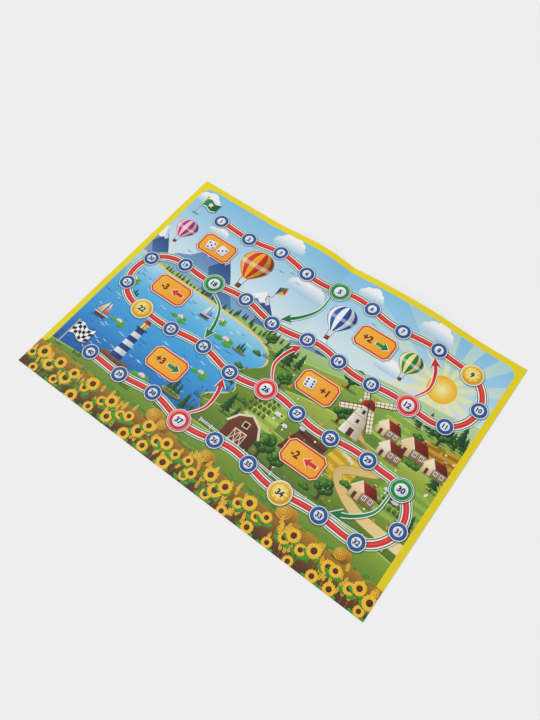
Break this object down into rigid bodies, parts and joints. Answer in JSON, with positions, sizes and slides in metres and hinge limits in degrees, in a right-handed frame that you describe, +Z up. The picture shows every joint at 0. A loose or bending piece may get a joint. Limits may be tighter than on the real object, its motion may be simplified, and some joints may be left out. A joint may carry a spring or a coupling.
{
  "type": "roll-and-move game board",
  "caption": "Folding game board of thin coated card: two printed halves that close face to face on one crease, with a numbered track for dice-and-token play.",
  "frame": {"origin": "on the underside of the opened board, at the middle of the crease, which is the centre of the sheet", "axes": "+X along the long side to the right as the print is read, +Y to the back edge, +Z up out of the printed face"},
  "size_m": [0.42, 0.297, 0.0007],
  "materials": {
    "printed_face": "clay-coated white paper, printed in full colour, satin varnish",
    "core_board": "uncoated grey pulp, seen only at the cut edges",
    "back_liner": "uncoated white paper, matt",
    "crease": "creased card, print slightly rubbed along the fold"
  },
  "bodies": {
    "left_half": {"left_back_liner": "back_liner", "left_core_board": "core_board", "left_face_sheet": "printed_face", "crease_strip": "crease"},
    "right_half": {"right_back_liner": "back_liner", "right_core_board": "core_board", "right_face_sheet": "printed_face"}
  },
  "joints": [
    {"name": "crease_fold", "type": "hinge", "parent": "left_half", "child": "right_half", "pos_m": [0, 0, 0.00065], "axis": [0, -1, 0], "range_deg": [0, 180], "deforming": ["crease_strip"]}
  ]
}
